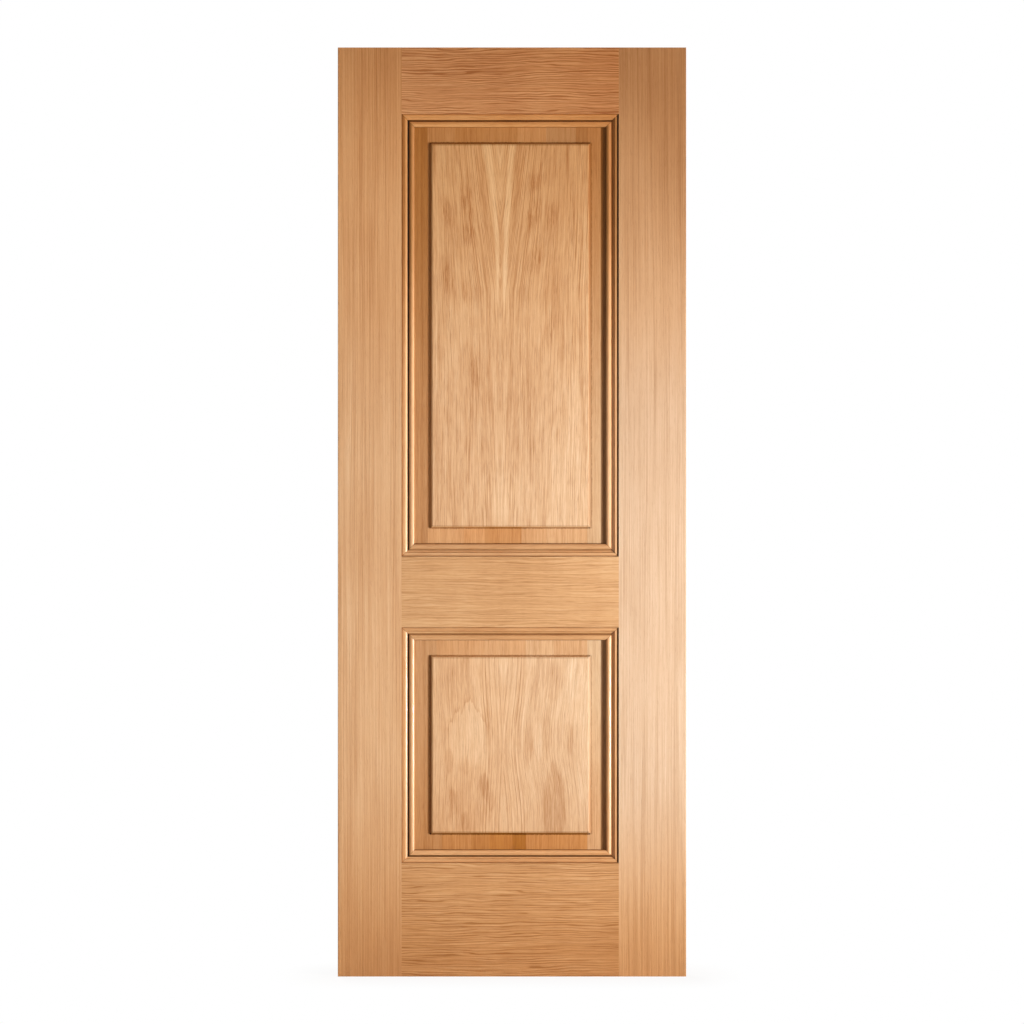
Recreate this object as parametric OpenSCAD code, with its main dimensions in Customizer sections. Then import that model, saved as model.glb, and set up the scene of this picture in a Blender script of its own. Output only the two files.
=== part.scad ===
// Oak fire door leaf with two raised and fielded panels held by mitred beads.
// Every piece is drawn lying flat: X across the leaf, Y from its foot to its head, Z through its thickness,
// with the front face up and the middle of the thickness at zero. stand() then turns the piece upright,
// with its front towards -Y.

/* [Leaf] */
// Width of the leaf across both stiles
leaf_w = 762; // [686:1:926]
// Height of the leaf
leaf_h = 2032; // [1932:1:2132]
// Thickness of the leaf
leaf_t = 44; // [42:0.5:54]
// Face width of the left stile with its lipping
left_stile_w = 139.5; // [120:0.5:170]
// Face width of the right stile with its lipping
right_stile_w = 147.5; // [120:0.5:170]
// Height of the top rail
top_rail_h = 145; // [120:1:180]
// Height of the middle rail
mid_rail_h = 155; // [120:1:200]
// Height of the bottom rail
bottom_rail_h = 248; // [200:1:280]
// Height of the opening between the bottom and middle rails
lower_opening_h = 515.5; // [400:0.5:640]
// Thickness of the solid lipping along each long edge
lipping_t = 8; // [6:0.5:12]
// Width of the chamfer along the outer corners of a lipping
arris = 1; // [0.5:0.1:2]

/* [Joints] */
// Diameter of a dowel
dowel_d = 16; // [12:0.5:18]
// Length of a dowel
dowel_l = 140; // [100:5:160]
// Chamfer at each end of a dowel
dowel_chamfer = 1.5; // [0.5:0.5:3]
// Radial clearance of a dowel in its bore
dowel_fit = 0.05; // [0.02:0.01:0.1]
// Room for glue past each end of a dowel
glue_gap = 1; // [0.5:0.5:3]
// Distance from a rail's edges to its outer dowels
dowel_inset = 42; // [34:1:50]
// Dowels at each end of the top rail
top_rail_dowels = 2; // [2:1:3]
// Dowels at each end of the middle rail
mid_rail_dowels = 2; // [2:1:3]
// Dowels at each end of the bottom rail
bottom_rail_dowels = 3; // [2:1:4]
// Clearance round a rail's stub tenon in the stile's groove
tenon_fit = 0.1; // [0.05:0.05:0.3]

/* [Panels] */
// Thickness of a panel at its border and tongue
border_t = 22; // [18:0.5:24]
// Thickness of a panel across its two raised fields
field_t = 33; // [28:0.5:36]
// Distance from the edge of an opening to the flat of the raised field
field_inset = 69; // [60:0.5:80]
// Radius of the rounded edge of a field
field_edge_r = 8; // [7:0.5:12]
// Thickness of the veneer sheet on each field
veneer_t = 0.8; // [0.6:0.1:1.5]
// Depth of a panel's tongue in the groove
tongue_d = 10; // [7:0.5:14]
// Clearance on each face of the tongue in the groove
tongue_fit = 0.2; // [0.1:0.05:0.4]
// Thickness of the fire seal between the tongue and the bottom of the groove
seal_t = 2; // [1:0.5:4]

/* [Beads] */
// Depth of a bead's fillet below the faces of the stiles and rails
bead_setback = 2.5; // [1:0.5:4]
// Chamfer along a bead's outer edge, a fine V-shaped line against the stile or rail
edge_chamfer = 1.5; // [0.5:0.25:2]
// Width of the flat fillet along a bead's outer edge
fillet_w = 8; // [6:0.5:11]
// Width of the hollow cove beside the fillet
cove_w = 6; // [5:0.5:7]
// Drop of the cove below the fillet
cove_drop = 4.5; // [3:0.5:5]
// Width of the quirk, the narrow groove between the cove and the round
quirk_w = 1; // [0.5:0.25:2]
// Depth of the quirk below the fillet
quirk_depth = 5.5; // [5:0.25:6]
// Radius of the half round beside the panel
round_r = 6.7; // [5.5:0.1:7]
// Depth of the round's crest below the fillet
crest_drop = 1; // [0:0.25:1.5]
// Gap between two beads at a mitre
mitre_gap = 0.1; // [0.05:0.05:0.3]

/* [Hidden] */
$fn = 96;
// Overshoot of a cut past the face that it opens
over = 1;

// Frame of stiles and rails
opening_w = leaf_w - left_stile_w - right_stile_w;
opening_x = (left_stile_w - right_stile_w) / 2;
upper_opening_h = leaf_h - top_rail_h - mid_rail_h - bottom_rail_h - lower_opening_h;
lower_y = bottom_rail_h;
mid_rail_y = lower_y + lower_opening_h;
upper_y = mid_rail_y + mid_rail_h;
top_rail_y = upper_y + upper_opening_h;
groove_d = tongue_d + seal_t;
groove_w = border_t + 2 * tongue_fit;
tenon_l = groove_d - tenon_fit;
tenon_t = groove_w - 2 * tenon_fit;

// Each rail: the height of its lower edge, its own height, its dowels at each end
top_rail_set = [top_rail_y, top_rail_h, top_rail_dowels];
mid_rail_set = [mid_rail_y, mid_rail_h, mid_rail_dowels];
bottom_rail_set = [0, bottom_rail_h, bottom_rail_dowels];
rail_sets = [top_rail_set, mid_rail_set, bottom_rail_set];

// Raised fields
core_t = field_t - 2 * veneer_t;

// Bead section: u runs inwards from the opening's edge, v up from the panel's border
bead_t = leaf_t / 2 - bead_setback - border_t / 2;
quirk_u = fillet_w + cove_w;
round_u = quirk_u + quirk_w;
crest_u = round_u + round_r;
crest_v = bead_t - crest_drop;
round_v = crest_v - round_r;
cove_r = (cove_w * cove_w + cove_drop * cove_drop) / (2 * cove_drop);
bead_w = crest_u + round_r;
mitre_trim = mitre_gap / sqrt(2);

// Each opening: the name of its panel, the height of its lower edge, its own height
openings = [["upper", upper_y, upper_opening_h], ["lower", lower_y, lower_opening_h]];
// Each face of the leaf: its name and whether it is mirrored from the front
faces = [["front", 0], ["back", 1]];
// Each side of an opening: its name and its turn about the opening's centre
sides = [["bottom", 0], ["right", 90], ["top", 180], ["left", 270]];

function veneer_name(o, f) = str(o[0], "_", f[0], "_veneer");
function bead_name(o, f, s) = str(o[0], "_", f[0], "_", s[0], "_bead");

// Turns a piece that was drawn lying flat upright
module stand() {
    rotate([90, 0, 0]) children();
}

// Puts the children on the centre line of the openings
module on_centre() {
    translate([opening_x, 0, 0]) children();
}

// Puts the children at the middle of an opening
module at_opening(o) {
    on_centre() translate([0, o[1] + o[2] / 2, 0]) children();
}

// Leaves the children on the front face, or mirrors them to the back
module on_face(f) {
    mirror([0, 0, f[1]]) children();
}

// Puts the children at each dowel of one rail, at the shoulder line on the right
module at_dowels(rail) {
    count = rail[2];
    pitch = (rail[1] - 2 * dowel_inset) / (count - 1);
    for (i = [0 : count - 1]) {
        translate([opening_w / 2, rail[0] + dowel_inset + i * pitch, 0]) children();
    }
}

module dowel() {
    end_r = dowel_d / 2 - dowel_chamfer;
    half = dowel_l / 2;
    shank = half - dowel_chamfer;
    rotate([0, 90, 0]) rotate_extrude() polygon([
        [0, -half],
        [end_r, -half],
        [dowel_d / 2, -shank],
        [dowel_d / 2, shank],
        [end_r, half],
        [0, half]
    ]);
}

module dowel_bore() {
    bore_l = dowel_l + 2 * glue_gap;
    rotate([0, 90, 0]) cylinder(d = dowel_d + 2 * dowel_fit, h = bore_l, center = true);
}

// Right stile without its lipping, grooved along its whole inner edge and bored for the dowels
module stile(face_w) {
    difference() {
        translate([opening_w / 2, 0, -leaf_t / 2]) cube([face_w - lipping_t, leaf_h, leaf_t]);
        translate([opening_w / 2 - over, -over, -groove_w / 2])
            cube([groove_d + over, leaf_h + 2 * over, groove_w]);
        for (rail = rail_sets) {
            at_dowels(rail) dowel_bore();
        }
    }
}

// Rail with a stub tenon at each end, grooved along the edges that face an opening
module rail(set, opening_below, opening_above) {
    h = set[1];
    full_w = opening_w + 2 * tenon_l;
    cut_w = full_w + 2 * over;
    difference() {
        translate([0, set[0], 0]) union() {
            translate([-opening_w / 2, 0, -leaf_t / 2]) cube([opening_w, h, leaf_t]);
            translate([-full_w / 2, 0, -tenon_t / 2]) cube([full_w, h, tenon_t]);
        }
        if (opening_below) {
            translate([-cut_w / 2, set[0] - over, -groove_w / 2])
                cube([cut_w, groove_d + over, groove_w]);
        }
        if (opening_above) {
            translate([-cut_w / 2, set[0] + h - groove_d, -groove_w / 2])
                cube([cut_w, groove_d + over, groove_w]);
        }
        at_dowels(set) dowel_bore();
        mirror([1, 0, 0]) at_dowels(set) dowel_bore();
    }
}

// Lipping on the right edge, with its two outer corners chamfered
module lipping() {
    inner = leaf_w / 2 - lipping_t;
    outer = leaf_w / 2;
    half = leaf_t / 2;
    rotate([-90, 0, 0]) linear_extrude(leaf_h) polygon([
        [inner, -half],
        [outer - arris, -half],
        [outer, -half + arris],
        [outer, half - arris],
        [outer - arris, half],
        [inner, half]
    ]);
}

// Section across both raised fields of a panel in an opening of the given span
module field_section(span) {
    flat = span - 2 * field_inset;
    corner_v = field_t / 2 - field_edge_r;
    square([flat, field_t], center = true);
    square([flat + 2 * field_edge_r, 2 * corner_v], center = true);
    for (side = [-1, 1], face = [-1, 1]) {
        translate([side * flat / 2, face * corner_v]) circle(r = field_edge_r);
    }
}

// Both fields of a panel as one block, where the sections along and across meet in mitred corners
module field_block(h) {
    intersection() {
        rotate([90, 0, 0]) linear_extrude(h, center = true) field_section(opening_w);
        rotate([90, 0, 90]) linear_extrude(opening_w, center = true) field_section(h);
    }
}

// Staved core of a panel, with its tongue all round and the field veneers left off
module panel(o) {
    h = o[2];
    color("#bd8648") stand() at_opening(o) union() {
        cube([opening_w + 2 * tongue_d, h + 2 * tongue_d, border_t], center = true);
        intersection() {
            field_block(h);
            cube([opening_w, h, core_t], center = true);
        }
    }
}

// Veneer sheet on one field, cut at its rim by the field's rounded edge
module field_veneer(o, f) {
    h = o[2];
    color("#e0b184") stand() at_opening(o) on_face(f) intersection() {
        field_block(h);
        translate([0, 0, (core_t + veneer_t) / 2]) cube([opening_w, h, veneer_t], center = true);
    }
}

// Strip wound round the edge of a panel, at the bottom of the grooves
module seal(o) {
    h = o[2];
    color("#3a3836") stand() at_opening(o) difference() {
        cube([opening_w + 2 * groove_d, h + 2 * groove_d, border_t], center = true);
        cube([opening_w + 2 * tongue_d, h + 2 * tongue_d, border_t + 2 * over], center = true);
    }
}

// Moulded section of a bead: fillet, cove, quirk and half round
module bead_section() {
    square([crest_u, bead_t - quirk_depth]);
    difference() {
        polygon([
            [0, 0],
            [quirk_u, 0],
            [quirk_u, bead_t],
            [edge_chamfer, bead_t],
            [0, bead_t - edge_chamfer]
        ]);
        translate([quirk_u, bead_t - cove_drop + cove_r]) circle(r = cove_r);
    }
    intersection() {
        translate([round_u, 0]) square([2 * round_r, crest_v]);
        translate([crest_u, round_v]) circle(r = round_r);
    }
    if (round_v > 0) {
        translate([crest_u, 0]) square([round_r, round_v]);
    }
}

// Bead along X with mitred ends, its outer edge at y = 0 and its seat at z = 0
module mitred_bead(length) {
    outer = length / 2 - mitre_trim;
    inner = outer - bead_w;
    intersection() {
        rotate([90, 0, 90]) linear_extrude(length, center = true) bead_section();
        linear_extrude(bead_t) polygon([[-outer, 0], [outer, 0], [inner, bead_w], [-inner, bead_w]]);
    }
}

// One of the four beads on one face of an opening
module bead(o, f, s) {
    h = o[2];
    upright = s[1] % 180 != 0;
    length = upright ? h : opening_w;
    reach = upright ? opening_w / 2 : h / 2;
    color("#c68f55") stand() at_opening(o) on_face(f) rotate([0, 0, s[1]])
        translate([0, -reach, border_t / 2]) mitred_bead(length);
}

module left_stile() {
    color("#dba573") stand() on_centre() mirror([1, 0, 0]) stile(left_stile_w);
}

module right_stile() {
    color("#dba573") stand() on_centre() stile(right_stile_w);
}

module top_rail() {
    color("#d29a64") stand() on_centre() rail(top_rail_set, true, false);
}

module mid_rail() {
    color("#d29a64") stand() on_centre() rail(mid_rail_set, true, true);
}

module bottom_rail() {
    color("#d29a64") stand() on_centre() rail(bottom_rail_set, false, true);
}

module left_lipping() {
    color("#dfae80") stand() mirror([1, 0, 0]) lipping();
}

module right_lipping() {
    color("#dfae80") stand() lipping();
}

module dowels() {
    color("#e3c39a") stand() on_centre() for (rail = rail_sets) {
        at_dowels(rail) dowel();
        mirror([1, 0, 0]) at_dowels(rail) dowel();
    }
}

left_stile();
right_stile();
top_rail();
mid_rail();
bottom_rail();
left_lipping();
right_lipping();
dowels();
for (o = openings) {
    panel(o);
    seal(o);
    for (f = faces) {
        field_veneer(o, f);
        for (s = sides) {
            bead(o, f, s);
        }
    }
}
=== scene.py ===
# %% [markdown]
# # An oak fire door leaf with raised and fielded panels
# The leaf is a frame of two upright stiles and three level rails. Two panels sit in it, held on
# each face by mitred beads. This lesson dresses its solids in oak: each piece keeps its exact
# shape, and nodes give it grain, colour, sheen and fine relief. Everything is in metres, with the
# front of the leaf towards -Y.

# %% Load the frame
import math

import bpy
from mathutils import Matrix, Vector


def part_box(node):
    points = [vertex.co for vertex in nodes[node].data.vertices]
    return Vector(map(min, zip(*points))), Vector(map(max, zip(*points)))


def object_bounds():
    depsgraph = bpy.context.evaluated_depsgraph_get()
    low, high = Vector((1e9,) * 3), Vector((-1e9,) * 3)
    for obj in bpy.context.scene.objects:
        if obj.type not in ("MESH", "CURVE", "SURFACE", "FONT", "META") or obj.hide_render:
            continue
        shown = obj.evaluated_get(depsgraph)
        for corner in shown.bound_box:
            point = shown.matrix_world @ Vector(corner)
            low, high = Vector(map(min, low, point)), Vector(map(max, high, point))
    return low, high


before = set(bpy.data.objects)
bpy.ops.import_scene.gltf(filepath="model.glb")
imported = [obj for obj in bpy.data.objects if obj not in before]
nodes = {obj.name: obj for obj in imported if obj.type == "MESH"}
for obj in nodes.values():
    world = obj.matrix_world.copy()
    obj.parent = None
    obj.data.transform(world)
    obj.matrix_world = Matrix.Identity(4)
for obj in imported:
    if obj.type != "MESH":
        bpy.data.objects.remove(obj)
solid_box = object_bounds()
print("pieces:", len(nodes), "box:", [[round(v, 4) for v in corner] for corner in solid_box])

# %% [markdown]
# ## Camera
# The leaf was seen straight from the front, with no side in view. A short lens would make the
# beads at the edges lean outwards, so a long one is used from further off. The distance comes
# from the width of the picture at the front face, which makes one pixel of a picture 1024 wide
# about 2.19 mm.

# %% Look straight at the middle of the leaf
picture_px = 1024
leaf_px = 348.4
leaf_low, leaf_high = solid_box
leaf_w = leaf_high[0] - leaf_low[0]
middle_z = (leaf_low[2] + leaf_high[2]) / 2
view_w = leaf_w * picture_px / leaf_px
camera_data = bpy.data.cameras.new("camera")
camera_data.lens = 85
camera_data.sensor_width = 36
camera = bpy.data.objects.new("camera", camera_data)
distance = view_w * camera_data.lens / camera_data.sensor_width
camera.location = (0, leaf_low[1] - distance, middle_z)
camera.rotation_euler = (math.radians(90), 0, 0)
bpy.context.scene.collection.objects.link(camera)
bpy.context.scene.camera = camera
bpy.context.scene.view_settings.view_transform = "Standard"
print("camera", round(distance, 3), "m from the front face")

# %% [markdown]
# ## Lights
# A cool key lamp low on the right grazes the front, which is what makes every bead and field edge
# stand out. It is a spot with a fully blended edge, so the head and the foot of the leaf stay
# darker than the middle. A warm lamp higher up on the same side lifts the shadows without filling
# them in, a very weak one in front keeps the deepest grooves from going black, and one high up
# behind lights the back and the top. That last one is kept out of reflections, because the top
# edge would mirror it as a white strip.

# %% Aim a lamp at a point
def lamp(kind, name, place, target, power, colour, **settings):
    """A lamp with its power in watts, turned so that it shines at the target."""
    data = bpy.data.lights.new(name, kind)
    data.energy = power
    data.color = colour
    for setting, value in settings.items():
        setattr(data, setting, value)
    made = bpy.data.objects.new(name, data)
    made.location = place
    way = [t - p for t, p in zip(target, place)]
    level = math.hypot(way[0], way[1])
    made.rotation_euler = (math.atan2(level, -way[2]), 0, math.atan2(-way[0], way[1]))
    bpy.context.scene.collection.objects.link(made)
    return made


key_place = (2.9, -1.6, 0.3)
fill_aim = (0.0, 0.0, 1.2)
lamp("SPOT", "key", key_place, target=(-0.58, 0.0, 0.939), power=820, colour=(0.66, 0.83, 1.0),
     spot_size=math.radians(42.2), spot_blend=1.0, shadow_soft_size=0.06)
lamp("AREA", "side_fill", (4.6, -3.0, 2.3), fill_aim, power=227, colour=(1.0, 0.72, 0.55),
     shape="SQUARE", size=1.0)
lamp("AREA", "front_fill", (0.4, -3.4, 1.2), fill_aim, power=9, colour=(1.0, 0.8, 0.6),
     shape="SQUARE", size=1.6)
back = lamp("AREA", "back_fill", (-2.2, 4.4, 4.2), fill_aim, power=300,
            colour=(1.0, 0.95, 0.88), shape="SQUARE", size=2.3)
back.visible_glossy = False

# %% [markdown]
# ## Writing node trees as sums
# A wood pattern is mostly arithmetic on positions, and a tree of Math nodes built by hand is hard
# to read. One small class wraps an output socket. Adding or multiplying two of them makes the Math
# node and links it, so the rest of the lesson reads like formulas. Any other node comes from one
# method, which sets a node's settings first, because some of them change its sockets, and then its
# inputs.

# %% A socket that can be added, multiplied and passed on
# A Mix node has sockets for every type of value. These are the ones for two colours and the result.
mix_first, mix_second, mix_result = 6, 7, 2


class Wire:
    """An output socket in a node tree, with the arithmetic that the patterns are written in."""

    def __init__(self, tree, socket):
        self.tree = tree
        self.socket = socket

    def node(self, kind, settings=None, inputs=None, out=0):
        """A new node: first its settings, then the values or links of its sockets."""
        made = self.tree.nodes.new(kind)
        for name, value in (settings or {}).items():
            if name == "stops":
                ramp = made.color_ramp
                while len(ramp.elements) < len(value):
                    ramp.elements.new(1.0)
                for element, (position, colour) in zip(ramp.elements, value):
                    element.position = position
                    element.color = (*colour, 1.0)
            else:
                setattr(made, name, value)
        for name, value in (inputs or {}).items():
            if isinstance(value, Wire):
                self.tree.links.new(value.socket, made.inputs[name])
            else:
                made.inputs[name].default_value = value
        return Wire(self.tree, made.outputs[out] if made.outputs else None)

    def math(self, operation, *values):
        return self.node("ShaderNodeMath", {"operation": operation}, dict(enumerate(values)))

    def __add__(self, other):
        return self.math("ADD", self, other)

    def __sub__(self, other):
        return self.math("SUBTRACT", self, other)

    def __rsub__(self, other):
        return self.math("SUBTRACT", other, self)

    def __neg__(self):
        return 0.0 - self

    def __mul__(self, other):
        return self.math("MULTIPLY", self, other)

    def __truediv__(self, other):
        return self.math("DIVIDE", self, other)

    def __rtruediv__(self, other):
        return self.math("DIVIDE", other, self)

    def __pow__(self, other):
        return self.math("POWER", self, other)

    def __rpow__(self, other):
        return self.math("POWER", other, self)

    def __abs__(self):
        return self.math("ABSOLUTE", self)

    __radd__ = __add__
    __rmul__ = __mul__

    def least(self, other):
        return self.math("MINIMUM", self, other)

    def most(self, other):
        return self.math("MAXIMUM", self, other)

    def split(self):
        apart = self.node("ShaderNodeSeparateXYZ", None, {"Vector": self}).socket.node
        return [Wire(self.tree, socket) for socket in apart.outputs]

    def join(self, x, y, z):
        return self.node("ShaderNodeCombineXYZ", None, {"X": x, "Y": y, "Z": z})

    def step(self, low, high):
        """A smooth rise from 0 at low to 1 at high."""
        settings = {"interpolation_type": "SMOOTHSTEP"}
        inputs = {"Value": self, "From Min": low, "From Max": high}
        return self.node("ShaderNodeMapRange", settings, inputs)

    def mix(self, first, second):
        """The first colour where this wire is 0, the second where it is 1."""
        inputs = {0: self, mix_first: first, mix_second: second}
        return self.node("ShaderNodeMix", {"data_type": "RGBA"}, inputs, mix_result)

    def tint(self, other):
        """This colour times another, channel by channel."""
        settings = {"data_type": "RGBA", "blend_type": "MULTIPLY"}
        inputs = {0: 1.0, mix_first: self, mix_second: other}
        return self.node("ShaderNodeMix", settings, inputs, mix_result)

    def cover(self, first, second):
        """The first shader where this wire is 0, the second where it is 1."""
        return self.node("ShaderNodeMixShader", None, {0: self, 1: first, 2: second})

    def noise(self, scale, detail=2.0, roughness=0.5, shift=(0.0, 0.0, 0.0)):
        """Noise from 0 to 1 at this place, with its own scale along each axis."""
        stretched = self.node(
            "ShaderNodeVectorMath", {"operation": "MULTIPLY_ADD"}, {0: self, 1: scale, 2: shift})
        inputs = {"Vector": stretched, "Scale": 1.0, "Detail": detail, "Roughness": roughness}
        return stretched.node("ShaderNodeTexNoise", {"noise_dimensions": "3D"}, inputs)


print("a wire can:", ", ".join(name for name in vars(Wire) if not name.startswith("_")))

# %% Colours as they are read from a picture
def srgb(red, green, blue):
    """A colour as read from a picture, 0 to 255, as the linear values that a shader takes."""
    return tuple(((v / 255 + 0.055) / 1.055) ** 2.4 if v > 10 else v / 255 / 12.92
                 for v in (red, green, blue))


print("mid oak:", [round(v, 3) for v in srgb(218, 171, 128)])

# %% [markdown]
# ## The white studio
# The leaf stands on white with no horizon. A bright white room would wash out the shadows, so the
# world shows white only to the camera and in reflections, and sends a little warm light to
# everything else.

# %% World
def blank_tree(owner):
    """The emptied node tree of a world or a material."""
    owner.use_nodes = True
    owner.node_tree.nodes.clear()
    return owner.node_tree


def start(tree, kind, out=0, inputs=None):
    """The first wire of a tree, from a node that no other node feeds."""
    return Wire(tree, None).node(kind, None, inputs, out)


def looked_at(tree):
    """1 for the rays of the camera, of reflections and of glass, 0 for those that only light."""
    camera_ray = start(tree, "ShaderNodeLightPath", "Is Camera Ray")
    path = camera_ray.socket.node.outputs
    reflected = camera_ray.most(Wire(tree, path["Is Glossy Ray"]))
    return reflected.most(Wire(tree, path["Is Transmission Ray"]))


white = (1.0, 1.0, 1.0, 1.0)
room_tint = (1.0, 0.9, 0.78, 1.0)
room_light = 0.035
world = bpy.data.worlds.new("studio")
bpy.context.scene.world = world
tree = blank_tree(world)
seen = looked_at(tree)
room = seen.node("ShaderNodeBackground", None, {"Color": room_tint, "Strength": room_light})
backdrop = seen.node("ShaderNodeBackground", None, {"Color": white, "Strength": 1.0})
shown = seen.cover(room, backdrop)
shown.node("ShaderNodeOutputWorld", None, {"Surface": shown})
print("world nodes:", len(tree.nodes))

# %% [markdown]
# A floor under the leaf is white too, so that no edge of it shows. Close to the foot a little less
# of that white is laid over the matt floor, and the soft shadow of a real leaf comes through where
# it touches the ground.

# %% Floor
def studio_sheet(name, corners):
    """A flat sheet that isn't part of the leaf, and the empty tree of its material."""
    mesh = bpy.data.meshes.new(name)
    mesh.from_pydata(corners, [], [(0, 1, 2, 3)])
    made = bpy.data.objects.new(name, mesh)
    bpy.context.scene.collection.objects.link(made)
    material = bpy.data.materials.new(name)
    mesh.materials.append(material)
    return made, blank_tree(material)


floor_half = 6.0
floor_drop = 0.0005
floor_z = leaf_low[2] - floor_drop
floor_grey, floor_mottle = 0.86, 0.03
shadow_reach, shadow_share = 0.15, 0.08
leaf_t = leaf_high[1] - leaf_low[1]
turns = ((-1, -1), (1, -1), (1, 1), (-1, 1))
floor, tree = studio_sheet("floor", [(x * floor_half, y * floor_half, floor_z) for x, y in turns])
place = start(tree, "ShaderNodeTexCoord", "Object")
x, y, _ = place.split()
off_x = (abs(x) - leaf_w / 2).most(0.0)
off_y = (abs(y) - leaf_t / 2).most(0.0)
near = 1.0 - ((off_x * off_x + off_y * off_y) ** 0.5).step(0.0, shadow_reach)
grey = place.noise((3.0, 3.0, 3.0), detail=3.0) * floor_mottle + floor_grey
inputs = {"Base Color": grey.join(grey, grey, grey), "Roughness": 0.9}
matt = place.node("ShaderNodeBsdfPrincipled", None, inputs)
glow = place.node("ShaderNodeEmission", None, {"Color": white, "Strength": 1.0})
surface = (looked_at(tree) * (1.0 - near * shadow_share)).cover(matt, glow)
surface.node("ShaderNodeOutputMaterial", None, {"Surface": surface})
print("floor", 2 * floor_half, "m wide")

# %% [markdown]
# The key falls on the right edge nearly head-on, and would burn it out to white when the leaf is
# seen from the side. A photographer hangs a strip of net just off the edge, which holds back part
# of the light there and leaves the front alone. Here it is a strip that only shadow rays meet, with
# a see-through shader that lets part of them pass.

# %% Net off the right edge
net_gap = 0.12
net_pass = 0.6
behind_front, past_back, past_top = 0.002, 0.03, 0.1
towards_key = net_gap / (key_place[0] - leaf_high[0])
shaded_y = (leaf_low[1] + behind_front, leaf_high[1] + past_back)
net_y = [y + (key_place[1] - y) * towards_key for y in shaded_y]
net_z = (leaf_low[2], leaf_high[2] + past_top)
net_x = leaf_high[0] + net_gap
net_turns = ((0, 0), (1, 0), (1, 1), (0, 1))
net, tree = studio_sheet("net", [(net_x, net_y[i], net_z[j]) for i, j in net_turns])
for rays in ("camera", "diffuse", "glossy", "transmission"):
    setattr(net, f"visible_{rays}", False)
weave = start(tree, "ShaderNodeBsdfTransparent", 0, {"Color": (net_pass, net_pass, net_pass, 1.0)})
weave.node("ShaderNodeOutputMaterial", None, {"Surface": weave})
print("net from y", round(net_y[0], 4), "to", round(net_y[1], 4))

# %% [markdown]
# ## Oak
# Oak shows growth rings as soft bands along the grain, fine fibre lines between them, dark dashes
# that break off, hair-thin marks and short pores. A picture of a board would repeat and blur, so
# each of these is a noise, drawn out along the grain. They follow two distances, across the fibres
# and across the rings. Straight, wavy and crown-cut boards then differ only in how these two are
# worked out, and one oak serves every piece.

# %% The layers of the grain
# How often each layer changes in a metre: across the grain, through the board and along it.
patch_scale = (9.0, 9.0, 3.5)
band_scale = (85.0, 25.0, 0.8)
streak_scale = (480.0, 60.0, 1.6)
hair_scale = (650.0, 400.0, 30.0)
pore_scale = (1300.0, 900.0, 60.0)
break_across, dash_deep = 60.0, 40.0
# Each seed moves the noises to another place, so that no two boards are alike.
seed_step = (7.31, 3.17, 5.77)
# How near its middle a noise draws a dash, and between which values breaks and pores set in.
dash_near, break_edge, pore_edge = 0.06, (0.36, 0.62), (0.57, 0.70)


def grain_layers(place, flow, growth, seed, dash_scale, shorten, fine):
    """One board's noises, each around 0, and its breaks, pores and dashes, from 0 to 1."""
    shift = tuple(seed * step for step in seed_step)
    across, deep, length = band_scale
    bands = growth.noise((across, deep, length * shorten), 2.0, 0.5, shift) - 0.5
    across, deep, length = streak_scale
    streaks = flow.noise((across * fine, deep, length * shorten), 4.0, 0.62, shift) - 0.5
    across, length = dash_scale
    wisps = flow.noise((across, dash_deep, length), 2.0, 0.55, shift[::-1])
    breaks = flow.noise((break_across, dash_deep, length * 2.0), 1.0, 0.5, shift)
    thin = 1.0 - abs(wisps - 0.5).step(0.0, dash_near)
    return {
        "patches": place.noise(patch_scale, 2.0, 0.5, shift) - 0.5,
        "bands": bands,
        "streaks": streaks,
        "hairs": flow.noise(hair_scale, 2.0, 0.6, shift) - 0.5,
        "pores": flow.noise(pore_scale, 1.0, 0.5, shift).step(*pore_edge),
        "breaks": breaks,
        "dashes": thin * (breaks - bands * 0.4).step(*break_edge),
    }


print("fibre lines change every", round(1000 / streak_scale[0], 1), "mm across the grain")

# %% [markdown]
# The layers add up to one tone, and a ramp turns it into dark, middle or light oak. Stain settles
# in the pores and dashes. The head and the foot are painted a little darker and warmer, as shade
# for the dimmer light there, and painted shade and stain darken and warm the wood where they lie.
# All of that is one factor for each channel, which multiplies the colour of the grain.

# %% Colour, stain and age
stain_share = (0.78, 0.64, 0.48)
head_from, head_over = 1.1, 0.9
tip_from, tip_over = 1.78, 0.25
foot_from, foot_over = 0.5, 0.5
# Painted shade: the head and the foot are darker and warmer, for the dimmer light there.
tip_dark, foot_dark = 0.06, 0.05
head_warmth, foot_warmth, shade_and_stain_warmth = 0.07, 0.12, 0.25
blue_warmth = 2.3


def grain_colour(tone, stain, colours):
    """Oak between its dark and its light tone, with stain where it has soaked in."""
    dark, mid, light = colours
    stops = [(0.2, dark), (0.5, mid), (0.8, light)]
    colour = tone.node("ShaderNodeValToRGB", {"stops": stops}, {"Fac": tone})
    return stain.mix(colour, (*(d * share for d, share in zip(dark, stain_share)), 1.0))


def age(x, z, dark_part, drift, yellow):
    """Per-channel factor: darker and warmer under painted shade and stain, and at both ends."""
    head = (z - head_from).step(0.0, head_over)
    tip = (z - tip_from).step(0.0, tip_over)
    foot = (foot_from - z).step(0.0, foot_over)
    level = (1.0 - tip * tip_dark - foot * foot_dark) * (1.0 - dark_part)
    warmth = head * head_warmth + foot * foot_warmth + dark_part * shade_and_stain_warmth
    if drift:
        lift, warmer = drift(x, z)
        level, warmth = level * lift, warmth + warmer
    green = level * (1.0 - warmth)
    return z.join(level, green, level * (1.0 - warmth * blue_warmth - head * yellow))


print("the head warms from", head_from, "m up, the foot from", foot_from, "m down")

# %% [markdown]
# Lacquer fills the grain but leaves it to be felt, so fibres, pores and dashes give a relief of
# less than a fifth of a millimetre. Real geometry that fine would be too much for any scene, and a
# Bump node does it. The beads carry a thicker coat of lacquer, which shines less where painted
# shade and stain darken the colour.

# %% Relief, shader and coat
grain_relief = 0.00018
coat_rough, coat_loss, coat_over = 0.25, 1.5, 0.6


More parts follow.
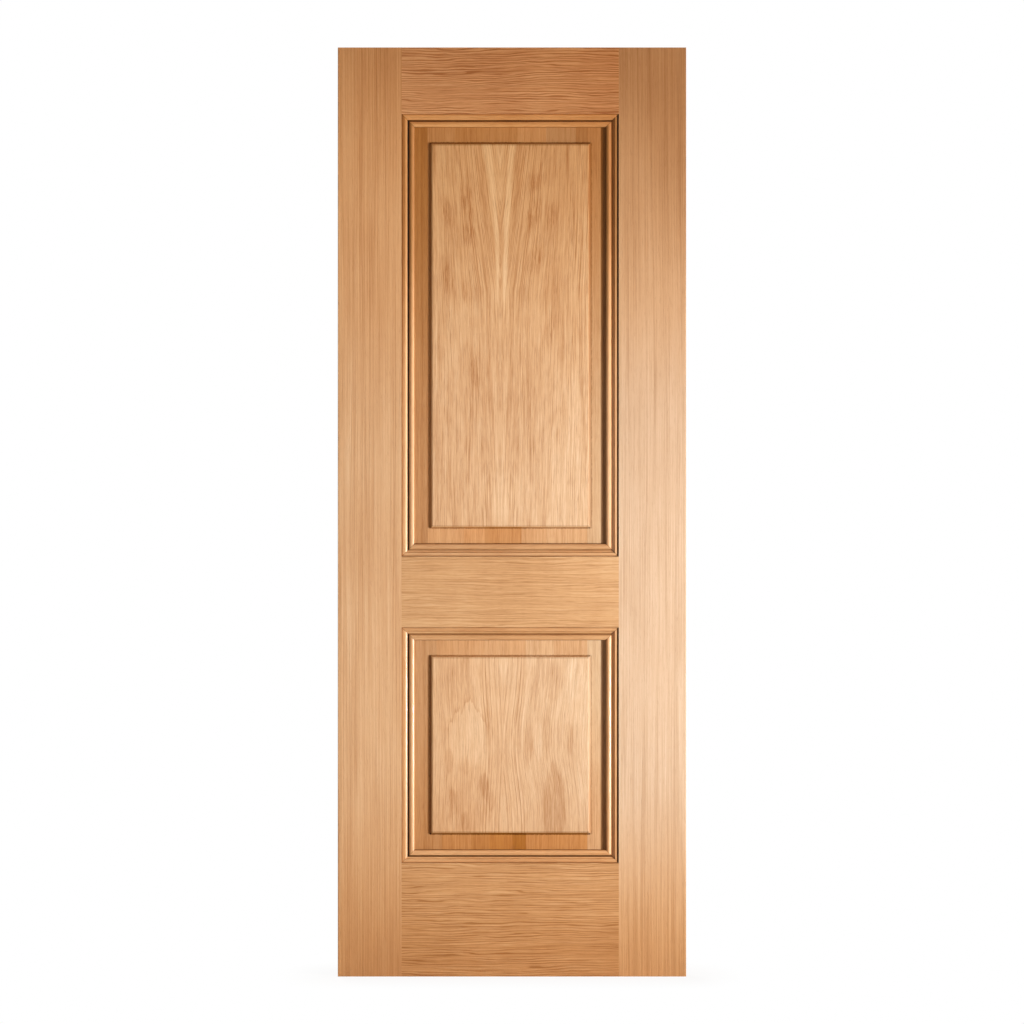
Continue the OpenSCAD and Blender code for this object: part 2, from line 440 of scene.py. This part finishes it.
def finish_tree(wire, colour, roughness, height, depth, specular, coat=0.0):
    """The end of a material's tree: the relief, the shader and the output."""
    bump = wire.node("ShaderNodeBump", None, {"Strength": 1.0, "Distance": depth, "Height": height})
    inputs = {"Base Color": colour, "Roughness": roughness, "Normal": bump,
              "Specular IOR Level": specular, "Coat Weight": coat, "Coat Roughness": coat_rough}
    shader = wire.node("ShaderNodeBsdfPrincipled", None, inputs)
    shader.node("ShaderNodeOutputMaterial", None, {"Surface": shader})


def shine(z, dark_part, foot_coat, head_coat):
    """The weight of the lacquer's coat, which changes from the foot of the leaf to its head."""
    undarkened = (1.0 - dark_part * coat_loss).most(0.0)
    return undarkened * (foot_coat + (z - head_from).step(0.0, coat_over) * (head_coat - foot_coat))


print("relief of the grain:", round(grain_relief * 1000, 2), "mm")

# %% [markdown]
# Now one function builds the whole oak, and each piece gives it a grain, a set of colours and the
# strength of each layer. End grain drinks in the finish, so a face that looks along the grain comes
# out darker and duller, which the surface's normal tells.

# %% One oak for every piece
patch_strength, pore_stain = 0.3, 0.2
lacquer_rough, hair_rough, pore_rough, end_rough = 0.48, 0.12, 0.2, 0.35
lacquer_specular = 0.16
end_turn, end_dark, end_least = (0.35, 0.95), 0.5, 0.05


def oak(name, along, grain, colours, seed, band=0.4, line=0.9, hair=0.4, dash=0.2,
        dash_scale=(150.0, 6.0), shorten=1.0, fine=1.0, yellow=0.09, figure=None, shade=None,
        drift=None, ends=True, coat=None):
    """Lacquered oak, with its grain along x or z.

    grain gives the distances across fibres and rings, and band, line, hair and dash the strength
    of the layers. shorten and fine make the streaks so many times shorter and narrower, and
    yellow takes blue from the head as painted shade. figure adds to the tone, shade gives painted
    shade and stain, and drift a slow change of brightness and warmth, which on the stiles and cores
    is partly painted light and shade. coat is the lacquer's weight at the foot and the head.
    """
    material = bpy.data.materials.new(name)
    tree = blank_tree(material)
    place = start(tree, "ShaderNodeTexCoord", "Object")
    x, y, z = place.split()
    across, length = (x, z) if along == "z" else (z, x)
    fibre, ring = grain(across, y, length)
    flow, growth = place.join(fibre, y, length), place.join(ring, y, length)
    layer = grain_layers(place, flow, growth, seed, dash_scale, shorten, fine)
    streaks, hairs, pores, dashes = (layer[k] for k in ("streaks", "hairs", "pores", "dashes"))
    tone = 0.5 + layer["patches"] * patch_strength + layer["bands"] * band
    tone = tone + streaks * line + hairs * hair
    if figure:
        tone = tone + figure(across, y, length, fibre, streaks)
    colour = grain_colour(tone, (dashes * dash + pores * pore_stain).least(1.0), colours)
    # Painted shade and stain, as the piece gives them.
    dark_part = shade(x, y, z) if shade else 0.0
    roughness = lacquer_rough + hairs * hair_rough + pores * pore_rough
    if ends:
        normal = start(tree, "ShaderNodeNewGeometry", "Normal").split()
        end = abs(normal[2] if along == "z" else normal[0]).step(*end_turn)
        dark_part = dark_part + end * (layer["breaks"] * end_dark + end_least)
        roughness = roughness + end * end_rough
    colour = colour.tint(age(x, z, dark_part, drift, yellow))
    height = hairs * 0.5 + streaks * 0.3 - pores * 0.6 - dashes * 0.4
    lacquer = shine(z, dark_part, *coat) if coat else 0.0
    finish_tree(place, colour, roughness, height, grain_relief, lacquer_specular, lacquer)
    return material


def dress(material, *names):
    """Give one material to each of the named pieces."""
    for name in names:
        nodes[name].data.materials[0] = material
    print(material.name, "on", ", ".join(names))


print("lacquered oak: roughness", lacquer_rough, "and", lacquer_rough + end_rough, "on end grain")

# %% [markdown]
# ## Stiles and lippings
# The stiles are straight-grained boards set upright, and a thin lipping of the same oak covers each
# long edge. Their streaks are straight and only wander a little, so a slow noise bends the distance
# across the fibres by a few millimetres over half a metre. The left one is painted darker towards
# its foot, and the right one paler there and warmer at both ends: painted light and shade for the
# uneven fall of the light. The right stile's paler, less orange tones partly paint the brighter
# light on that side.

# %% Straight grain
def straight(wander, tilt):
    """Fibres that follow the board and wander slowly, and lie at a tilt in its thickness."""
    def grain(across, deep, length):
        place = across.join(across, deep, length)
        fibre = across + deep * tilt + (place.noise((6.0, 6.0, 1.1), 1.0) - 0.5) * wander
        return fibre, fibre
    return grain


def ends_painted_light(foot, head, foot_warm, head_warm):
    """Painted light and shade: a board made paler or darker, and warmer, towards foot and head."""
    def drift(_, z):
        low = (0.45 - z).step(0.0, 0.4)
        lift = 1.0 + low * foot + (z - 1.5).step(0.0, 0.53) * head
        return lift, low * foot_warm + (z - 1.2).step(0.0, 0.3) * head_warm
    return drift


# The right stile's paler, less orange tones partly paint the brighter light on that side.
stile_oak = {
    "left": [srgb(184, 133, 87), srgb(211, 165, 119), srgb(228, 191, 148)],
    "right": [srgb(179, 140, 102), srgb(206, 171, 136), srgb(222, 194, 163)],
}
# Painted light and shade towards each stile's foot and head.
stile_painted_light = {
    "left": ends_painted_light(foot=-0.07, head=0.02, foot_warm=0.02, head_warm=0.03),
    "right": ends_painted_light(foot=0.09, head=-0.07, foot_warm=0.07, head_warm=0.07),
}
for seed, side in ((1.0, "left"), (2.0, "right")):
    for piece, wander, tilt in (("stile", 0.013, 0.4), ("lipping", 0.010, 0.2)):
        seed += 0.3
        made = oak(f"{side}_{piece}_oak", "z", straight(wander, tilt), stile_oak[side], seed,
                   band=0.12, line=0.8, hair=0.18, dash=0.3, dash_scale=(110.0, 0.8), shorten=1.6,
                   yellow=0.02, drift=stile_painted_light[side])
        dress(made, f"{side}_{piece}")

# %% [markdown]
# ## Rails
# The rails lie level between the stiles, and their boards have a livelier figure: long dark ring
# lines that wave and break off. The same oak is turned so that its grain runs along X, and a
# second, quicker noise adds the waves. Noise alone gives blurred streaks, so the ring lines come
# from a sine across the fibres. A noise shifts its phase, which keeps the lines from being evenly
# spaced, and another one fades them in and out.

# %% Wavy grain
def wavy(wander, wave, tilt):
    """Fibres that wander as in a straight board, with quick waves on top."""
    def grain(across, deep, length):
        place = across.join(across, deep, length)
        slow = (place.noise((5.0, 5.0, 1.6), 1.0) - 0.5) * wander
        quick = (place.noise((40.0, 20.0, 11.0), 2.0) - 0.5) * wave
        fibre = across + deep * tilt + slow + quick
        return fibre, fibre
    return grain


def ring_lines(period, depth):
    """Long dark lines, where the saw met the rings at a slant, each with a paler one beside it."""
    def figure(across, deep, length, fibre, _):
        place = across.join(fibre, deep, length)
        phase = (place.noise((60.0, 20.0, 5.0), 2.0, 0.6) - 0.5) * 3.5
        wave = fibre.math("SINE", (fibre / period + phase) * (2 * math.pi))
        strength = place.noise((70.0, 30.0, 6.0), 2.0).step(0.25, 0.6)
        return ((-wave).step(0.2, 1.0) * 0.6 - wave.step(0.45, 1.0)) * strength * depth
    return figure


top_oak = [srgb(178, 122, 82), srgb(213, 161, 119), srgb(228, 183, 142)]
rail_oak = [srgb(168, 118, 72), srgb(201, 153, 104), srgb(217, 175, 128)]
bold = {"line": 0.7, "dash": 0.4, "dash_scale": (480.0, 4.0)}
quiet = {"line": 0.5, "dash": 0.3, "dash_scale": (420.0, 4.0)}
# A rail's grain has its own wander, wave and tilt, and its ring lines a spacing and a strength.
for name, seed, colours, grain, figure, marks in (
        ("top_rail", 3.0, top_oak, wavy(0.03, 0.010, 0.3), ring_lines(0.0055, 0.42), bold),
        ("mid_rail", 4.0, rail_oak, wavy(0.04, 0.006, 0.3), ring_lines(0.0060, 0.14), quiet),
        ("bottom_rail", 5.0, rail_oak, wavy(0.03, 0.007, -0.3), ring_lines(0.0058, 0.28), bold)):
    made = oak(f"{name}_oak", "x", grain, colours, seed, band=0.1, shorten=2.0, figure=figure,
               **marks)
    dress(made, name)

# %% [markdown]
# ## Panel cores
# The raised field stands out from the core by a rounded edge. Its top and bottom show end grain,
# which takes up more stain. A painted shade darkens the rounded edge all round, by a different
# amount on each side as the light falls, and tones down its highlight on the right. A dark line of
# one width would look drawn, so a noise makes it ragged. The border beside the right bead gets a
# painted shadow of the bead, darkened from the bead inwards.

# %% Stain and painted shade round the raised fields
rims = {level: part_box(f"{level}_front_veneer") for level in ("upper", "lower")}
# How dark each side of a field's rounded edge is painted: end-grain stain and painted shade.
rim_shade_and_stain = {"upper": {"top": 0.5, "bottom": 0.4, "left": 0.2, "right": 0.36},
            "lower": {"top": 0.3, "bottom": 0.6, "left": 0.45, "right": 0.3}}
rim_in, rim_out, rim_rise = 0.0035, 0.0060, 0.0012
rim_ragged, right_extra = 0.006, 0.0022
corner_in, corner_out = 0.002, 0.005
# How wide and how dark the painted shadow of the right bead is on the border.
bead_shadow_width, bead_shadow_dark = 0.014, 0.62


def rim(level, share, inset, edge=None):
    """Stain and painted shade round a raised field, and the right bead's painted shadow."""
    low, high = rims[level]
    mid_x, mid_z = (low[0] + high[0]) / 2, (low[2] + high[2]) / 2
    half_x, half_z = (high[0] - low[0]) / 2, (high[2] - low[2]) / 2

    def shade(x, y, z):
        rough = (x.join(x, y, z).noise((500.0, 200.0, 120.0), 2.0, 0.7) - 0.5) * rim_ragged
        beyond_x = 1.0 - (abs(x - mid_x) - half_x).step(corner_in, corner_out)
        beyond_z = 1.0 - (abs(z - mid_z) - half_z).step(corner_in, corner_out)
        total = 0.0
        for side, over, along in (("top", z - high[2], beyond_x), ("bottom", low[2] - z, beyond_x),
                                  ("left", low[0] - x, beyond_z), ("right", x - high[0], beyond_z)):
            wide = right_extra if side == "right" else 0.0
            fade = 1.0 - (over + rough).step(rim_in + wide, rim_out + wide)
            lip = over.step(-inset, rim_rise - inset) * fade
            total = total + lip * along * (rim_shade_and_stain[level][side] * share)
        if edge:
            # A painted shadow of the right bead on the border.
            past = x - edge
            bead_shadow = past.step(0.0, rim_rise) * (1.0 - past.step(0.0, bead_shadow_width) * 0.5)
            total = total + bead_shadow * bead_shadow_dark
        return total
    return shade


for level, (low, high) in rims.items():
    print(level, "field", round(high[0] - low[0], 4), "by", round(high[2] - low[2], 4), "m")

# %% [markdown]
# Each core is glued up from upright staves, and its border shows them: every stave has its own
# tint. The tints drift along each stave's length, darker towards the head of the upper panel and
# the foot of the lower one, which is painted shade for the dimmer light there. Cutting the core
# into pieces would leave seams that the real one doesn't have, so a step in brightness and warmth
# at each stave's left side does it.

# %% Staves
core_oak = [srgb(174, 118, 68), srgb(207, 156, 107), srgb(222, 176, 128)]
stave_blur = 0.0003
# For each panel, at its lower and at its upper end: every stave's left side, brightness and warmth.
# The darker values at the head of the upper panel and the foot of the lower one are painted shade.
stave_tints_and_shade = {
    "upper": ([(-0.26, 0.78, 0.08), (-0.185, 0.95, 0.05), (-0.105, 0.97, 0.09), (-0.06, 0.85, 0.15),
               (0.021, 0.93, 0.02), (0.075, 0.95, -0.02), (0.165, 0.94, -0.14)],
              [(-0.26, 0.63, 0.17), (-0.185, 0.84, 0.04), (-0.125, 0.80, 0.08), (-0.06, 0.82, 0.06),
               (0.012, 0.91, 0.01), (0.075, 0.83, -0.05), (0.14, 0.75, 0.05), (0.165, 0.82, 0.05)]),
    "lower": ([(-0.26, 0.77, 0.11), (-0.153, 0.81, 0.16), (-0.09, 0.75, 0.20), (-0.049, 0.74, 0.25),
               (0.0014, 0.60, 0.30), (0.0305, 0.83, 0.17), (0.165, 0.96, -0.06)],
              [(-0.26, 0.82, 0.03), (-0.165, 0.92, 0.04), (-0.06, 0.92, 0.01),
               (-0.005, 0.975, -0.01), (0.03, 1.0, -0.10), (0.092, 0.92, -0.02),
               (0.165, 0.96, -0.20)]),
}


def staves(low, high, below, above):
    """Each stave's brightness and warmth, which go from one end's to the other's with height."""
    def row(x, entries, part):
        total, last = 0.0, 0.0
        for entry in entries:
            side = x.step(entry[0] - stave_blur, entry[0] + stave_blur)
            total = total + side * (entry[part] - last)
            last = entry[part]
        return total

    def drift(x, z):
        up = z.step(low, high)
        return [row(x, below, part) * (1.0 - up) + row(x, above, part) * up for part in (1, 2)]
    return drift


# How far from the right bead the painted shadow on the border begins.
bead_shadow_reach = 0.0110
for seed, level in ((6.0, "upper"), (7.0, "lower")):
    low, high = rims[level]
    bead_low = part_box(f"{level}_front_right_bead")[0]
    made = oak(f"{level}_core_oak", "z", straight(0.012, 0.3), core_oak, seed, band=0.3, line=0.5,
               shade=rim(level, share=1.0, inset=0.0, edge=bead_low[0] - bead_shadow_reach),
               drift=staves(low[2], high[2], *stave_tints_and_shade[level]), ends=False)
    dress(made, f"{level}_panel")

# %% [markdown]
# ## Field veneers
# Each raised field is faced with two leaves of crown-cut veneer, laid edge to edge like an open
# book, so measuring from the joint mirrors the fibres. Where the knife met a ring at a slant, a
# brown flame of short dashes shows. The flames are set one by one as ragged ellipses, because no
# two leaves flame alike and one formula for them all would look regular. Single rings that the
# knife cut cleanly are thin dark threads, and the veneer turns a little cooler to the right.

# %% What both fields share
veneer_oak = [srgb(172, 118, 72), srgb(211, 166, 121), srgb(232, 197, 155)]
upper_joint, lower_joint = -0.026, -0.0185
joint_blur = 0.0002


def right_leaf(across, joint):
    """1 on the leaf to the right of the joint, 0 on the other."""
    return (across - joint).step(-joint_blur, joint_blur)


def pick(right, left_value, right_value):
    """One number on the left leaf and another on the right one."""
    return right * (right_value - left_value) + left_value


def flames(spots, lean, edge, dashes):
    """Ragged ellipses of short dashes: each one's middle, half width, half height and tone."""
    def drawn(across, deep, length):
        place = across.join(across, deep, length)
        ragged = (place.noise((200.0, 60.0, 12.0), 3.0, 0.65) - 0.5) * 2.0
        marks = place.noise((340.0, 60.0, 24.0), 3.0, 0.65).step(0.40, 0.64)
        teeth = marks * dashes + (1.0 - dashes * 0.55)
        total = 0.0
        for x, z, half_w, half_h, tone in spots:
            up = length - z
            u = (across - x - up * (lean if x > upper_joint else -lean)) / half_w
            v = up / half_h
            total = total + (1.0 - (u * u + v * v + ragged).step(*edge)) * tone
        return total * teeth
    return drawn


def dark_threads(fibre, rows):
    """Single dark rings, each with its place across the fibres and its width."""
    total = 0.0
    for at, width in rows:
        off = (fibre - at) / width
        total = total + math.e ** -(off * off)
    return total


def cooler(low, high, amount):
    """Veneer that turns a little cooler towards the right, below a given height."""
    def drift(x, z):
        return 1.0, x.step(-0.12, 0.12) * (1.0 - z.step(low, high)) * -amount
    return drift


print("joints of the leaves at x =", upper_joint, "and", lower_joint)

# %% [markdown]
# In the upper field the fibres run straight up to the top third, and fan out there in a V from the
# joint. A pale streak lies along each arm of the V, with dark threads beside it, and brown flames
# stand on both sides. The two arms differ, so each has its own curve and width. Below the V the
# middle is calm.

# %% The fan and the flames of the upper field
fan_from = 1.5


def upper_grain(across, deep, length):
    leaf = abs(across - upper_joint)
    place = across.join(across, deep, length)
    slant = (length - fan_from).most(0.0) * 0.1 + (length - 1.0) * 0.02
    lean = slant * (1.0 - leaf.step(0.05, 0.16) * 0.7)
    fibre = leaf - lean + (place.noise((8.0, 8.0, 2.5), 1.0) - 0.5) * leaf.step(0.01, 0.08) * 0.02
    return fibre, fibre + (place.noise((380.0, 50.0, 5.0), 3.0, 0.6) - 0.5) * 0.01


upper_spots = [
    (-0.096, 1.691, 0.018, 0.050, -0.19), (-0.094, 1.625, 0.018, 0.036, -0.19),
    (-0.141, 1.675, 0.020, 0.044, -0.15), (0.057, 1.746, 0.022, 0.036, -0.17),
    (0.048, 1.671, 0.020, 0.048, -0.19), (0.087, 1.663, 0.016, 0.038, -0.15),
    (0.051, 1.568, 0.020, 0.036, -0.15), (-0.104, 1.500, 0.010, 0.038, -0.15),
    (-0.140, 1.531, 0.014, 0.052, -0.13), (0.080, 1.400, 0.016, 0.060, -0.12),
    (-0.085, 1.330, 0.014, 0.060, -0.12), (0.100, 1.200, 0.018, 0.070, -0.1),
]
upper_flames = flames(upper_spots, lean=0.2, edge=(-0.2, 1.2), dashes=1.5)
upper_rings = [(0.010, 0.0006), (0.019, 0.0008), (0.033, 0.0007), (0.037, 0.0009), (0.052, 0.0008)]
print("upper field:", len(upper_spots), "flames,", len(upper_rings), "threads in each leaf")

# %% The upper field
# Each arm of the V: its foot's distance from the joint, its slope and its curve.
left_arm, right_arm = (0.0051, -0.0224, 0.313), (0.0102, 0.0136, 0.118)


def upper_figure(across, deep, length, fibre, streaks):
    right = right_leaf(across, upper_joint)
    leaf = abs(across - upper_joint)
    rise = (length - fan_from).most(0.0)
    foot, slope, curve = (pick(right, *pair) for pair in zip(left_arm, right_arm))
    half = pick(right, 0.0025, 0.0050) + rise * pick(right, 0.0355, 0.0140)
    off = (leaf - (foot + rise * slope + rise * rise * curve)) / half
    arm = (1.0 - abs(off).step(0.3, 1.15)) * (length - 1.42).step(0.0, 0.14)
    threads = dark_threads(fibre, upper_rings) * (length - 1.4).step(0.0, 0.15) * 0.22
    inside = (1.0 - off.step(-1.1, -0.9)) * rise.step(0.0, 0.1) * 0.06
    outer = (across - 0.118).step(0.0, 0.02)
    calm = (1.0 - leaf.step(0.004, 0.03)) * (1.0 - rise.step(0.0, 0.1)) * 0.05
    pale = inside + calm + arm * (0.28 + streaks * 0.8) + outer * (0.02 + streaks * 0.5)
    return upper_flames(across, deep, length) + pale - threads


veneer_inset, rim_share = 0.0036, 0.5
upper_oak = oak("upper_veneer_oak", "z", upper_grain, veneer_oak, 8.3, band=0.1, line=1.0, dash=0.3,
                dash_scale=(300.0, 9.0), shorten=4.0, fine=1.35, figure=upper_figure,
                shade=rim("upper", rim_share, veneer_inset),
                drift=cooler(low=1.1, high=1.5, amount=0.04), ends=False)
dress(upper_oak, "upper_front_veneer", "upper_back_veneer")

# %% [markdown]
# In the lower field the fibres draw in to a waist halfway up and spread again above and below it. A
# ring closes to a pointed arch on the left, pale inside with a darker brow over it. A curve of its
# own would look pasted on, so the arch is the lesser of two distances, from its roof and from its
# sides, with a noise to tooth the edge.

# %% The waist and the flames of the lower field
waist_z, waist_h = 0.51, 0.11


def lower_grain(across, deep, length):
    leaf = abs(across - lower_joint)
    place = across.join(across, deep, length)
    waist = (length - waist_z) / waist_h
    pinch = pick(right_leaf(across, lower_joint), 0.008, 0.015)
    bend = (place.noise((10.0, 10.0, 4.0), 1.0) - 0.5) * leaf.step(0.02, 0.08) * 0.02
    fibre = leaf + pinch * math.e ** -(waist * waist) + bend
    return fibre, fibre + (place.noise((380.0, 50.0, 6.0), 3.0, 0.6) - 0.5) * 0.012


lower_spots = [
    (-0.0990, 0.647, 0.040, 0.061, -0.06), (-0.0950, 0.390, 0.053, 0.087, -0.09),
    (-0.1294, 0.379, 0.013, 0.034, -0.09), (-0.1029, 0.339, 0.011, 0.024, -0.09),
    (-0.0605, 0.416, 0.011, 0.032, -0.10), (-0.0459, 0.384, 0.009, 0.027, -0.08),
    (-0.1374, 0.472, 0.011, 0.029, -0.08), (-0.1003, 0.461, 0.009, 0.024, -0.07),
    (0.0362, 0.514, 0.012, 0.050, -0.10), (0.0773, 0.519, 0.011, 0.053, -0.08),
    (0.0588, 0.519, 0.012, 0.048, 0.06), (0.0932, 0.371, 0.029, 0.098, -0.11),
    (0.1250, 0.519, 0.011, 0.042, -0.07), (0.0906, 0.649, 0.025, 0.050, -0.06),
    (0.0482, 0.636, 0.011, 0.053, -0.05), (0.1436, 0.649, 0.024, 0.053, 0.06),
]
lower_flames = flames(lower_spots, lean=0.0, edge=(0.5, 1.1), dashes=0.6)
lower_rings = [(at, 0.0009) for at in (0.011, 0.020, 0.032, 0.040, 0.0465)]
print("lower field:", len(lower_spots), "flames,", len(lower_rings), "threads in each leaf")

# %% The lower field
arch_x, arch_top, arch_half = -0.0951, 0.600, 0.042


def lower_figure(across, deep, length, fibre, _):
    off = across - arch_x
    place = across.join(across, deep, length)
    teeth = (place.noise((120.0, 40.0, 4.0), 2.0, 0.6) - 0.5) * 0.05
    roof = arch_top - length - abs(off) - off * off * 6.0 + teeth
    inside = roof.least(arch_half - abs(off) + teeth * 0.2)
    pale = inside.step(-0.001, 0.003) * (length - 0.437).step(0.0, 0.08) * 0.06
    edge = inside.step(-0.014, -0.001) * (1.0 - inside.step(-0.001, 0.002))
    brow = edge * (length - 0.5).step(0.0, 0.05) * 0.1
    threads = dark_threads(fibre, lower_rings)
    return lower_flames(across, deep, length) + pale - brow - threads * 0.2


lower_oak = oak("lower_veneer_oak", "z", lower_grain, veneer_oak, 9.6, band=0.12, line=0.6,
                dash=0.25, dash_scale=(300.0, 7.0), shorten=4.0, fine=1.25, figure=lower_figure,
                shade=rim("lower", rim_share, veneer_inset),
                drift=cooler(low=2.0, high=2.1, amount=0.07), ends=False)
dress(lower_oak, "lower_front_veneer", "lower_back_veneer")

# %% [markdown]
# ## Beads
# The beads are moulded from straight oak and mitred at the corners, so the grain of each runs along
# its own length. Painted shade darkens the quirk and the inner foot of each bead, more where a side
# faces away from the light. The outer edge is darkened too, partly a dark joint with the stile and
# partly a painted shadow of the stile's edge. The distance from a bead's outer edge tells where
# that is. A fine dark seam shows at each mitre, where that distance equals the one from the bead's
# end, and the upright beads are painted darker towards the head, as shade for the dimmer light.

# %% Painted shade and dark joints on a bead
# The outer edge: partly a dark joint, partly a painted shadow of the stile's edge.
edge_joint_and_shadow = {"left": 0.28, "right": 0.95, "top": 0.15, "bottom": 0.3}
edge_width = {"left": 0.0048, "right": 0.0044, "top": 0.0034, "bottom": 0.0034}
# Painted shade at the inner foot and in the quirk, and towards the head of the upright beads.
foot_shade = {"left": 0.4, "right": 0.55, "top": 0.5, "bottom": 0.75}
quirk_shade = {"left": 0.97, "right": 0.15, "upper_top": 0.9, "upper_bottom": 0.3,
              "lower_top": 0.4, "lower_bottom": 0.85}
all_over = {"upper_bottom": 0.16, "lower_top": 0.16, "upper_top": -0.08}
head_shade = {"left": 0.28, "right": 0.25}
dark_from, dark_over = 1.25, 0.45
uprights = ("left", "right")
seam_dark, darkest = 0.4, 0.97
# Lengths across a bead, from its outer edge: where each change of tone begins and where it ends.
edge_fade = 0.0018
quirk_in, quirk_out = (0.0118, 0.0134), (0.0156, 0.0174)
bead_foot = (0.0268, 0.0284)
seam_width = (0.0002, 0.0013)


def bead_shade_and_joints(level, side, low, high):
    """Painted shade and dark joints, by the distance from a bead's outer edge."""
    quirk_shade_here = quirk_shade.get(side) or quirk_shade[f"{level}_{side}"]
    wide = edge_width[side]

    def shade(x, y, z):
        across, a, along, b = (x, 0, z, 2) if side in uprights else (z, 2, x, 0)
        out = across - low[a] if side in ("left", "bottom") else high[a] - across
        end = (along - low[b]).least(high[b] - along)
        edge = 1.0 - out.step(wide - edge_fade, wide)
        quirk = out.step(*quirk_in) * (1.0 - out.step(*quirk_out))
        foot = out.step(*bead_foot)
        head = (z - dark_from).step(0.0, dark_over) * head_shade.get(side, 0.0)
        seam = (1.0 - (end - out).step(*seam_width)) * seam_dark
        # Painted shade in the quirk, at the foot and along the outer edge, which is partly a dark
        # joint.
        joint_and_shade = edge * edge_joint_and_shadow[side] + quirk * (1.0 - head) * quirk_shade_here + foot * foot_shade[side]
        return (joint_and_shade + seam + head + all_over.get(f"{level}_{side}", 0.0)).least(darkest)
    return shade


print("dark edge of a bead, in mm:", {side: round(w * 1000, 1) for side, w in edge_width.items()})

# %% Eight beads for each face
bead_oak = [srgb(176, 118, 66), srgb(210, 157, 104), srgb(226, 180, 130)]
bead_coat = {"upper": (1.0, 0.15), "lower": (0.55, 0.55)}
seed = 10.0
for level in ("upper", "lower"):
    for side in ("bottom", "right", "top", "left"):
        pair = [f"{level}_{face}_{side}_bead" for face in ("front", "back")]
        low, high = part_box(pair[0])
        along = "z" if side in uprights else "x"
        seed += 0.7
        made = oak(f"{level}_{side}_bead_oak", along, straight(0.006, 0.5), bead_oak, seed,
                   shade=bead_shade_and_joints(level, side, low, high), coat=bead_coat[level])
        dress(made, *pair)

# %% [markdown]
# ## Dowels and seals
# Beech dowels hold the rails to the stiles, and a dark strip that swells in a fire lies round each
# panel, at the bottom of the grooves. Neither shows on a closed leaf, but both are there when the
# leaf is taken apart, so they get materials of their own: fine straight grain, and grey dust on
# black.

# %% Beech and fire seal
beech = [srgb(205, 160, 115), srgb(226, 190, 148), srgb(236, 206, 168)]
dowel_beech = oak("dowel_beech", "x", straight(0.003, 0.5), beech, 20.0, band=0.3, line=0.5,
                  dash=0.1)
dress(dowel_beech, "dowels")
seal_relief = 0.0002
seal_mat = bpy.data.materials.new("graphite_seal")
place = start(blank_tree(seal_mat), "ShaderNodeTexCoord", "Object")
speck = place.noise((900.0, 900.0, 900.0), 3.0, 0.7)
weave = place.noise((180.0, 180.0, 180.0), 2.0)
grey = speck.step(0.55, 0.75).mix((*srgb(52, 50, 49), 1.0), (*srgb(92, 90, 88), 1.0))
finish_tree(place, grey, 0.75 + weave * 0.2, speck * 0.6 + weave * 0.4, seal_relief, 0.3)
dress(seal_mat, "upper_seal", "lower_seal")
